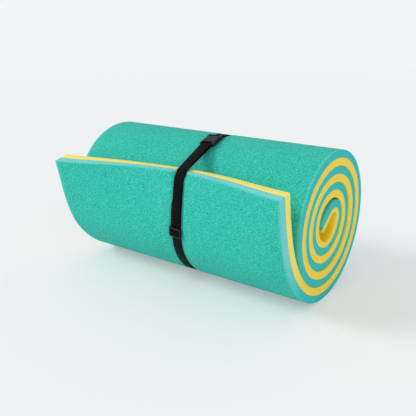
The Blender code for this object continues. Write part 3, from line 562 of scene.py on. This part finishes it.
def plyBlank(name):
    # the flat sheet with what the winding needs to know at each point
    points, faces, cut = [], [], []
    keys = ("turn", "freed", "swell", "squeeze", "face", "drop", "press", "stand", "edgeHighlight", "freeEndLight")
    values = {key: [] for key in keys}
    guides, leans = [], []
    walked = 0.0
    for index, row in enumerate(rows):
        if index:
            walked += float(np.linalg.norm(row["point"] - rows[index - 1]["point"]))
        places, drops = columnPlaces(row["centre"])
        count = len(places)
        if "index" in row:
            station = freeAt(places, row["index"]).T
        else:
            station = np.tile(np.concatenate([row["point"], row["out"]]), (count, 1))
        stand = pitch * float(np.interp(row["turn"], mat["standTurns"], mat["standShares"]))
        push = stand * smooth((np.abs(places) - halfWidth + mat["standReach"]) / mat["standReach"])
        press = pressed(row["turn"], row["share"], places - row["centre"])
        swell = float(smooth(row["share"] * mat["swellRate"]))
        squeeze = float(np.interp(row["turn"], mat["squeezeTurns"], mat["squeezeShares"]))
        # rows at the sheet's two ends take the painted edge highlight
        wornAndHighlight = float(index < 3 or index > len(rows) - 4)
        # share of the painted highlight on the free end's cut edge, growing towards the free end
        freeEndLight = float(smooth(row["share"] * mat["freeEndLightRate"]))
        order = list(range(count))
        for face, sequence in ((1.0, order), (0.0, order[::-1])):
            for k in sequence:
                points.append((places[k], walked, face * 0.01))
                values["turn"].append(row["turn"])
                values["freed"].append(row["freed"])
                values["swell"].append(swell)
                values["squeeze"].append(squeeze)
                values["face"].append(face)
                values["drop"].append(max(drops[k], row["drop"]))
                values["press"].append(press[k])
                values["stand"].append(push[k])
                # columns at the roll's ends take the painted edge highlight
                values["edgeHighlight"].append(1.0 if k < 3 or k > count - 4 else wornAndHighlight)
                values["freeEndLight"].append(freeEndLight)
                guides.append((0.0, station[k][0], station[k][1]))
                leans.append((0.0, station[k][2], station[k][3]))
    ring = 2 * count
    for r in range(len(rows) - 1):
        for k in range(ring):
            a, b = r * ring + k, r * ring + (k + 1) % ring
            faces.append((a, b, b + ring, a + ring))
            cut.append(k in (0, count - 2, count - 1, ring - 1))
    for r in (0, len(rows) - 1):
        for k in range(count - 1):
            faces.append((r * ring + k, r * ring + k + 1, r * ring + ring - 2 - k, r * ring + ring - 1 - k))
            cut.append(True)
    obj = newObject(name, points, faces=faces)
    for key in keys:
        storeValues(obj, key, values[key])
    storeValues(obj, "guide", guides, "FLOAT_VECTOR")
    storeValues(obj, "lean", leans, "FLOAT_VECTOR")
    storeValues(obj, "cutFace", cut, "BOOLEAN", "FACE")
    return obj


def windingTree():
    tree, given = newTree("wound foam ply", [
        ("Geometry", "Geometry"), ("Pitch", "Float"), ("Start Radius", "Float"), ("Oval", "Float"),
        ("Start Angle", "Float"), ("Wound Thickness", "Float"), ("Free Thickness", "Float"), ("Half Gap", "Float"),
        ("Bond Sink", "Float"), ("Fold Squeeze", "Float"), ("Side", "Float"), ("Press", "Float"),
        ("Standing Place", "Vector"), ("Skin", "Material"), ("Cut Edge", "Material")])
    turn, face = attribute(tree, "turn"), attribute(tree, "face")
    angle = calc(tree, "RADIANS", calc(tree, "SUBTRACT", given["Start Angle"], turn))
    grown = calc(tree, "MULTIPLY", given["Pitch"], calc(tree, "DIVIDE", turn, 360.0))
    flattened = calc(tree, "MULTIPLY", given["Oval"], calc(tree, "COSINE", calc(tree, "MULTIPLY", angle, 2.0)))
    radius = calc(tree, "ADD", given["Start Radius"], calc(tree, "ADD", grown, flattened))
    out = combine(tree, 0.0, calc(tree, "COSINE", angle), calc(tree, "SINE", angle))
    wound = vectorCalc(tree, "SCALE", out, radius)
    freed = attribute(tree, "freed")
    line = mixVectors(tree, freed, wound, attribute(tree, "guide", "FLOAT_VECTOR"))
    lean = mixVectors(tree, freed, out, attribute(tree, "lean", "FLOAT_VECTOR"))
    swell = calc(tree, "MULTIPLY", attribute(tree, "swell"),
                 calc(tree, "SUBTRACT", given["Free Thickness"], given["Wound Thickness"]))
    kept = calc(tree, "SUBTRACT", 1.0, calc(tree, "MULTIPLY", attribute(tree, "squeeze"), given["Fold Squeeze"]))
    full = calc(tree, "MULTIPLY", calc(tree, "ADD", given["Wound Thickness"], swell), kept)
    thick = calc(tree, "SUBTRACT", full, attribute(tree, "drop"))
    height = calc(tree, "ADD", given["Half Gap"], calc(tree, "MULTIPLY", thick, face))
    press = calc(tree, "MULTIPLY", calc(tree, "MULTIPLY", attribute(tree, "press"), face), given["Press"])
    sunk = calc(tree, "MULTIPLY", given["Bond Sink"], calc(tree, "SUBTRACT", 1.0, attribute(tree, "swell")))
    offset = calc(tree, "SUBTRACT", calc(tree, "MULTIPLY", height, given["Side"]), calc(tree, "ADD", press, sunk))
    flat = addNode(tree, "ShaderNodeSeparateXYZ", Vector=addNode(tree, "GeometryNodeInputPosition").outputs[0])
    along = combine(tree, calc(tree, "ADD", flat.outputs[0], attribute(tree, "stand")), 0.0, 0.0)
    rolled = vectorCalc(tree, "ADD", vectorCalc(tree, "ADD", along, line), vectorCalc(tree, "SCALE", lean, offset))
    stood = addNode(tree, "ShaderNodeSeparateXYZ", Vector=vectorCalc(tree, "ADD", rolled, given["Standing Place"]))
    rested = combine(tree, stood.outputs[0], stood.outputs[1], calc(tree, "MAXIMUM", stood.outputs[2], 0.0))
    moved = addNode(tree, "GeometryNodeSetPosition", Geometry=given["Geometry"], Position=rested)
    finishTree(tree, moved.outputs[0], given["Skin"], given["Cut Edge"])
    return tree


plyTree = windingTree()


def makePly(name, node, wound, free, side, skin, cut):
    ply = plyBlank(name)
    runTree(ply, plyTree, {
        "Pitch": pitch, "Start Radius": mat["startRadius"], "Oval": mat["oval"], "Start Angle": mat["startAngle"],
        "Wound Thickness": wound, "Free Thickness": free, "Half Gap": halfGap,
        "Bond Sink": mat["bondSink"], "Fold Squeeze": 0.0 if side > 0 else 1.0, "Side": side,
        "Press": 1.0 if side > 0 else 0.0, "Standing Place": standing, "Skin": skin, "Cut Edge": cut})
    closeMesh(ply, 40)
    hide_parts(node)
    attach(ply, "rolled_mat")
    return ply


greenPly = makePly("green_foam_ply", "outer_foam_ply", mat["outerWound"], mat["outerFree"], 1.0, greenSkin, greenCut)
makePly("yellow_foam_ply", "inner_foam_ply", mat["innerWound"], mat["innerFree"], -1.0, yellowSkin, yellowCut)
print("mat wound:", len(rows), "rows,", len(greenPly.data.polygons), "faces a ply")


# one woven band round the roll, through the plug and the slider
band = {
    "width": 0.0200, "thick": 0.0013, "layerGap": 0.00035, "seatGap": 0.00045, "corner": 0.00045,
    "socketTail": 0.034, "sliderTail": 0.052, "slot": 0.0058, "barRadius": 0.0016, "wrapSteps": 14, "wrapStart": -16.0,
    "tailSway": -0.0007, "holdBelow": 0.055, "holdAbove": 0.062,
}
buckle = {"back": 0.0325, "sit": 0.0006, "thick": 0.0080, "socketLength": 0.0300, "plugLength": 0.0150}
slider = {"bar": 0.0030, "slot": 0.0054, "barThick": 0.0018, "drop": 0.1115}

layerRise = band["thick"] + band["layerGap"]
lowLayer = band["seatGap"] + band["thick"] / 2
midLayer = lowLayer + layerRise
topLayer = midLayer + layerRise
buckleMiddle = dentValues["depth"] + buckle["sit"] + buckle["thick"] / 2
socketBar = -buckle["back"] + buckle["socketLength"] - band["barRadius"]
plugBar = -buckle["back"] - buckle["plugLength"] + band["barRadius"]
wrapRadius = band["barRadius"] + mat["gap"] + band["thick"] / 2
sliderPitch = slider["bar"] + slider["slot"]
lowBarTop = lowLayer + band["thick"] / 2 + band["layerGap"] + slider["barThick"]
sliderWrap = lowBarTop + band["layerGap"] + band["thick"] / 2
sliderOver = sliderWrap + layerRise


def unit(vector):
    return vector / np.linalg.norm(vector)


def seatPoint(row, x):
    share = row["share"]
    station = freeAt(x, row["index"]) if "index" in row else np.concatenate([row["point"], row["out"]])
    rise = outerRise(share) + halfGap - pressed(row["turn"], share, 0.0)
    return np.array([x, station[0] + station[2] * rise, station[1] + station[3] * rise])


seatRows = [row for row in rows if row["turn"] >= dentValues["startTurn"] + dentValues["fadeTurn"]]
seats = np.array([seatPoint(row, row["centre"]) for row in seatRows])
seatAcross = np.array([unit(seatPoint(row, row["centre"] + band["width"] / 2)
                            - seatPoint(row, row["centre"] - band["width"] / 2)) for row in seatRows])
seatSteps = np.linalg.norm(np.diff(seats, axis=0), axis=1)
seatWalk = np.concatenate([[0.0], np.cumsum(seatSteps)])
seatEdge = seatWalk[-1]
edgeWays = [unit(b - a) for a, b in zip(seats, seats[1:])]
seatAlong = np.array([edgeWays[0]] + [unit(a + b) for a, b in zip(edgeWays, edgeWays[1:])] + [edgeWays[-1]])
spanWay = unit(seats[0] - seats[-1])


def seatAt(distance):
    # the band's seat; distances up to 0 lie on the straight span from the free edge to the roll's top
    if distance <= 0:
        return seats[0] + spanWay * distance, spanWay, np.array([1.0, 0.0, 0.0])
    return tuple(np.array([np.interp(distance, seatWalk, table[:, k]) for k in range(3)])
                 for table in (seats, seatAlong, seatAcross))


def raised(point, along, across, height, sway=0.0):
    along = unit(along)
    normal = unit(np.cross(across, along))
    side = unit(np.cross(normal, along))
    return point + normal * height + side * sway, side


def lifted(distance, height, sway=0.0):
    point, side = raised(*seatAt(distance), height, sway)
    return point, side, distance


def seatRun(start, end, height, sway=0.0):
    low, high = min(start, end), max(start, end)
    run = [(*raised(seats[k], seatAlong[k], seatAcross[k], height, sway), d)
           for k, d in enumerate(seatWalk[:-1]) if low < d < high and d < seatEdge - 0.002]
    return run if end > start else run[::-1]


def edgeFan(height, steps=5):
    fan = []
    for k in range(steps + 1):
        along = seatAlong[-1] * (1 - k / steps) + spanWay * (k / steps)
        fan.append((*raised(seats[-1], along, seatAcross[-1], height), seatEdge))
    return fan


def wrapRound(bar, way):
    bend = []
    for k in range(band["wrapSteps"] + 1):
        share = band["wrapStart"] + (180 - 2 * band["wrapStart"]) * k / band["wrapSteps"]
        angle = math.radians(90 - way * share)
        bend.append(lifted(bar + wrapRadius * math.cos(angle), buckleMiddle + wrapRadius * math.sin(angle)))
    return bend


sliderPlace = seatEdge - slider["drop"]
crease = sliderPlace + band["sliderTail"]


def bandPath():
    # centre line from the tail sewn at the socket to the tail sewn at the slider
    bar, tail, slot = socketBar, band["socketTail"], band["slot"]
    low, high = sliderPlace - sliderPitch, sliderPlace + sliderPitch
    path = seatRun(bar + tail, bar + slot * 2.6, midLayer)
    path = [lifted(bar + tail, midLayer)] + path
    path.append(lifted(bar + slot * 1.9, midLayer + buckle["sit"] * 2))
    path += wrapRound(bar, -1)
    path.append(lifted(bar + slot * 1.9, lowLayer + buckle["sit"] / 2))
    path += seatRun(bar + slot * 2.4, low - sliderPitch, lowLayer)
    path.append(lifted(low - slider["bar"] * 1.6, lowLayer + band["layerGap"]))
    path.append(lifted(low, midLayer))
    path.append(lifted(low + slider["bar"] * 0.9, topLayer))
    path.append(lifted(sliderPlace - slider["bar"] * 0.75, sliderOver - band["layerGap"]))
    path.append(lifted(sliderPlace, sliderOver))
    path.append(lifted(sliderPlace + slider["bar"] * 0.75, sliderOver - band["layerGap"]))
    path.append(lifted(high - slider["bar"] * 0.6, topLayer))
    path.append(lifted(high + slider["bar"] * 0.6, topLayer))
    path += seatRun(high + slider["bar"], crease, topLayer)
    path.append(lifted(crease + band["layerGap"] * 2, topLayer))
    path.append(lifted(crease + layerRise * 3, midLayer))
    path += seatRun(crease + layerRise * 4, seatEdge, midLayer)
    path += edgeFan(midLayer)
    path += wrapRound(plugBar, 1)
    path += edgeFan(lowLayer)[::-1]
    path += seatRun(seatEdge, high, lowLayer)
    path.append(lifted(sliderPlace + slider["bar"], lowLayer))
    centre, reach = (lowLayer + sliderWrap) / 2, (sliderWrap - lowLayer) / 2
    for k in range(band["wrapSteps"] + 1):
        angle = -math.pi / 2 - math.pi * k / band["wrapSteps"]
        back = sliderPlace - slider["bar"] / 2 + reach * 0.3 + reach * math.cos(angle)
        path.append(lifted(back, centre + reach * math.sin(angle)))
    path.append(lifted(sliderPlace + slider["bar"] / 2, sliderWrap))
    path.append(lifted(high - slider["bar"] * 0.6, midLayer))
    path += seatRun(high, crease - slot, midLayer, band["tailSway"] * 0.6)
    path.append(lifted(crease - band["layerGap"] * 2, midLayer, band["tailSway"]))
    return path


def rounded(path):
    # each corner is cut once, so that the band bends smoothly
    made = [path[0]]
    for a, b in zip(path, path[1:]):
        for share in (0.25, 0.75):
            made.append(tuple(p * (1 - share) + q * share for p, q in zip(a, b)))
    return made + [path[-1]]


wholePath = rounded(bandPath())
pathPoints = np.array([p[0] for p in wholePath])
pathSides = np.array([unit(p[1]) for p in wholePath])
pathPlaces = np.array([p[2] for p in wholePath])
pathWalk = np.concatenate([[0.0], np.cumsum(np.linalg.norm(np.diff(pathPoints, axis=0), axis=1))])
pathWays = np.gradient(pathPoints, axis=0)
pathNormals = np.array([unit(np.cross(way, side)) for way, side in zip(pathWays, pathSides)])
pathLine = pathPoints + np.array(standing)

belowCut = int(np.argmax(pathPlaces >= sliderPlace - band["holdBelow"]))
middleCut = belowCut + int(np.argmax(pathPlaces[belowCut:] >= sliderPlace))
aboveCut = middleCut + int(np.argmax(pathPlaces[middleCut:] >= sliderPlace + band["holdAbove"]))
backCut = int(np.max(np.nonzero(pathPlaces > sliderPlace + band["holdAbove"])))


def bandTree():
    tree, given = newTree("woven band", [("Geometry", "Geometry"), ("Width", "Float"), ("Thickness", "Float"),
                                         ("Corner", "Float"), ("Weave", "Material")])
    line = addNode(tree, "GeometryNodeMeshToCurve", Mesh=given["Geometry"])
    turned = addNode(tree, "GeometryNodeSetCurveNormal", {"mode": "FREE"}, Curve=line.outputs[0],
                     Normal=attribute(tree, "outside", "FLOAT_VECTOR"))
    section = addNode(tree, "GeometryNodeCurvePrimitiveQuadrilateral", Width=given["Thickness"], Height=given["Width"])
    eased = addNode(tree, "GeometryNodeFilletCurve", {"mode": "POLY"}, Curve=section.outputs[0], Count=2,
                    Radius=given["Corner"])
    spot = addNode(tree, "ShaderNodeSeparateXYZ", Vector=addNode(tree, "GeometryNodeInputPosition").outputs[0])
    marked = addNode(tree, "GeometryNodeStoreNamedAttribute", {"data_type": "FLOAT", "domain": "POINT"},
                     Geometry=eased.outputs[0], Name="bandAcross", Value=spot.outputs[1])
    swept = addNode(tree, "GeometryNodeCurveToMesh", Curve=turned.outputs[0], Profile_Curve=marked.outputs[0],
                    Fill_Caps=True)
    mapped = addNode(tree, "GeometryNodeStoreNamedAttribute", {"data_type": "FLOAT2", "domain": "CORNER"},
                     Geometry=swept.outputs[0], Name="UVMap",
                     Value=combine(tree, attribute(tree, "bandAlong"), attribute(tree, "bandAcross"), 0.0))
    finishTree(tree, mapped.outputs[0], given["Weave"])
    return tree


wovenTree = bandTree()


def makeBand(name, stretches):
    points, sides, walks, edges = [], [], [], []
    for start, end in stretches:
        first = len(points)
        points += list(pathLine[start:end + 1])
        sides += list(pathNormals[start:end + 1])
        walks += list(pathWalk[start:end + 1])
        edges += [(k, k + 1) for k in range(first, len(points) - 1)]
    obj = newObject(name, points, edges=edges)
    storeValues(obj, "outside", sides, "FLOAT_VECTOR")
    storeValues(obj, "bandAlong", walks)
    runTree(obj, wovenTree, {"Width": band["width"], "Thickness": band["thick"], "Corner": band["corner"],
                             "Weave": bandWeave})
    closeMesh(obj, 50)
    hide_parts("strap_webbing")
    return obj


last = len(wholePath) - 1
strapLoop = makeBand("strap_loop", [(0, belowCut), (aboveCut, backCut)])
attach(strapLoop, "rolled_mat")
strapBelow = makeBand("strap_below_slider", [(belowCut, middleCut)])
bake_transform(strapBelow)
strapAbove = makeBand("strap_above_slider", [(middleCut, aboveCut), (backCut, last)])
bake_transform(strapAbove)
print("strap laid:", len(wholePath), "stations,", round(float(pathWalk[-1]), 3), "m")


sewing = {"pitch": 0.0027, "length": 0.0023, "radius": 0.00024, "inset": 0.0022, "start": 0.0155, "end": 0.0310}


def stitchRuns():
    half = band["width"] / 2 - sewing["inset"]
    start, end = socketBar + sewing["start"], socketBar + sewing["end"]
    return [((start, -half), (end, -half)), ((end, -half), (end, half)), ((end, half), (start, half)),
            ((start, half), (start, -half)), ((start, -half), (end, half)), ((end, -half), (start, half))]


def stitchTree():
    tree, given = newTree("thread stitches", [("Geometry", "Geometry"), ("Length", "Float"), ("Radius", "Float"),
                                              ("Thread", "Material")])
    drop = addNode(tree, "GeometryNodeMeshUVSphere", Segments=8, Rings=6, Radius=given["Radius"])
    stretched = addNode(tree, "GeometryNodeTransform", Geometry=drop.outputs[0], Scale=combine(
        tree, calc(tree, "DIVIDE", calc(tree, "MULTIPLY", given["Length"], 0.5), given["Radius"]), 1.0, 0.8))
    turned = addNode(tree, "FunctionNodeAxesToRotation", {"primary_axis": "X", "secondary_axis": "Z"},
                     Primary_Axis=attribute(tree, "stitchWay", "FLOAT_VECTOR"),
                     Secondary_Axis=attribute(tree, "stitchUp", "FLOAT_VECTOR"))
    spots = addNode(tree, "GeometryNodeMeshToPoints", Mesh=given["Geometry"])
    placed = addNode(tree, "GeometryNodeInstanceOnPoints", Points=spots.outputs[0], Instance=stretched.outputs[0],
                     Rotation=turned.outputs[0])
    finishTree(tree, placed.outputs[0], given["Thread"])
    return tree


def makeStitches():
    points, ways, ups = [], [], []
    top = midLayer + band["thick"] / 2 + sewing["radius"] * 0.25
    for (d0, y0), (d1, y1) in stitchRuns():
        count = max(int(round(math.hypot(d1 - d0, y1 - y0) / sewing["pitch"])), 1)
        for k in range(count):
            spots = []
            for share in ((k + 0.1) / count, (k + 0.9) / count):
                d, y = d0 + (d1 - d0) * share, y0 + (y1 - y0) * share
                spots.append(lifted(d, top, y)[0])
            point, along, across = seatAt(d0 + (d1 - d0) * (k + 0.5) / count)
            points.append((spots[0] + spots[1]) / 2 + np.array(standing))
            ways.append(unit(spots[1] - spots[0]))
            ups.append(unit(np.cross(across, along)))
    obj = newObject("tail_stitches", points)
    storeValues(obj, "stitchWay", ways, "FLOAT_VECTOR")
    storeValues(obj, "stitchUp", ups, "FLOAT_VECTOR")
    runTree(obj, stitchTree(), {"Length": sewing["length"], "Radius": sewing["radius"], "Thread": sewingThread})
    closeMesh(obj, 60)
    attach(obj, "rolled_mat")
    return obj


stitches = makeStitches()
print("tail sewn:", len(stitches.data.polygons), "stitch faces")


# the buckle and the slider keep their own shapes
for name in ("buckle_socket", "buckle_plug", "left_latch_arm", "right_latch_arm", "tri_glide_slider"):
    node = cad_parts[name]
    for spot in node.material_slots:
        spot.material = blackPlastic
print("buckle and slider finished")


studio = {
    "floor": (0.960, 0.974, 0.980), "sky": (0.875, 0.916, 0.936), "worldLight": 0.61, "floorShown": 0.36,
    "fadeStart": 2.2, "fadeEnd": 6.0, "floorRadius": 30.0, "floorTone": 0.985,
    "key": {"from": (-0.62, -0.50, 0.60), "strength": 1.26, "angle": 22.0},
    "front": {"from": (0.58, -0.80, 0.14), "strength": 0.40, "angle": 40.0},
    "fill": {"from": (0.80, -0.42, 0.44), "strength": 0.26, "angle": 30.0},
}
cameraValues = {"place": (0.612782, -0.853698, 0.496123), "heading": 125.501, "pitch": 19.235, "roll": -0.689,
                "focalPixels": 561.69, "framePixels": 416, "sensor": 36.0}


def makeFloor():
    # pale floor, evened out for the camera, that fades into the backdrop's colour far from the object
    mesh = bmesh.new()
    bmesh.ops.create_circle(mesh, cap_ends=True, segments=96, radius=studio["floorRadius"])
    data = bpy.data.meshes.new("studio_floor")
    mesh.to_mesh(data)
    mesh.free()
    floor = bpy.data.objects.new("studio_floor", data)
    bpy.context.collection.objects.link(floor)
    material, tree, shader = newMaterial("pale studio floor", 0.9, studio["floor"])
    shader.inputs["Specular IOR Level"].default_value = 0.1
    place = addNode(tree, "ShaderNodeTexCoord").outputs["Object"]
    slow = noise(tree, place, 1.3, 1.0, 0.5)
    toned = tuple(channel * studio["floorTone"] for channel in studio["floor"])
    tree.links.new(mixColours(tree, slow, studio["floor"], toned), shader.inputs["Base Color"])
    shown = addNode(tree, "ShaderNodeEmission", Color=(*studio["sky"], 1.0), Strength=1.0)
    away = vectorCalc(tree, "LENGTH", place)
    far = ranged(tree, away, studio["fadeStart"], studio["fadeEnd"], studio["floorShown"], 1.0)
    eye = addNode(tree, "ShaderNodeLightPath")
    mixed = addNode(tree, "ShaderNodeMixShader")
    tree.links.new(calc(tree, "MULTIPLY", far, eye.outputs["Is Camera Ray"]), mixed.inputs[0])
    tree.links.new(shader.outputs[0], mixed.inputs[1])
    tree.links.new(shown.outputs[0], mixed.inputs[2])
    tree.links.new(mixed.outputs[0], tree.nodes["Material Output"].inputs["Surface"])
    data.materials.append(material)
    return floor


def makeWorld():
    world = bpy.data.worlds.new("soft studio")
    bpy.context.scene.world = world
    world.use_nodes = True
    tree = world.node_tree
    shown = tree.nodes["Background"]
    shown.inputs["Color"].default_value = (*studio["sky"], 1.0)
    shown.inputs["Strength"].default_value = 1.0
    lit = addNode(tree, "ShaderNodeBackground", Color=(1.0, 1.0, 1.0, 1.0), Strength=studio["worldLight"])
    eye = addNode(tree, "ShaderNodeLightPath")
    mixed = addNode(tree, "ShaderNodeMixShader")
    tree.links.new(eye.outputs["Is Camera Ray"], mixed.inputs[0])
    tree.links.new(lit.outputs[0], mixed.inputs[1])
    tree.links.new(shown.outputs[0], mixed.inputs[2])
    tree.links.new(mixed.outputs[0], tree.nodes["World Output"].inputs["Surface"])


def makeLamp(name, values):
    data = bpy.data.lights.new(name, "SUN")
    data.energy = values["strength"]
    data.angle = math.radians(values["angle"])
    lamp = bpy.data.objects.new(name, data)
    bpy.context.collection.objects.link(lamp)
    lamp.rotation_euler = (-Vector(values["from"])).to_track_quat("-Z", "Y").to_euler()


def makeCamera():
    a, p, r = (math.radians(cameraValues[key]) for key in ("heading", "pitch", "roll"))
    forward = Vector((math.cos(p) * math.cos(a), math.cos(p) * math.sin(a), -math.sin(p)))
    right = forward.cross(Vector((0, 0, 1))).normalized()
    up = right.cross(forward)
    sideways = right * math.cos(r) + up * math.sin(r)
    upright = up * math.cos(r) - right * math.sin(r)
    data = bpy.data.cameras.new("photo_camera")
    data.sensor_width = cameraValues["sensor"]
    data.lens = cameraValues["focalPixels"] / cameraValues["framePixels"] * cameraValues["sensor"]
    camera = bpy.data.objects.new("photo_camera", data)
    bpy.context.collection.objects.link(camera)
    x, y, z = cameraValues["place"]
    camera.matrix_world = Matrix((
        (sideways.x, upright.x, -forward.x, x), (sideways.y, upright.y, -forward.y, y),
        (sideways.z, upright.z, -forward.z, z), (0, 0, 0, 1)))
    bpy.context.scene.camera = camera


makeFloor()
makeWorld()
makeLamp("key_light", studio["key"])
makeLamp("front_light", studio["front"])
makeLamp("fill_light", studio["fill"])
makeCamera()
bpy.context.scene.view_settings.view_transform = "Standard"
print("studio set")
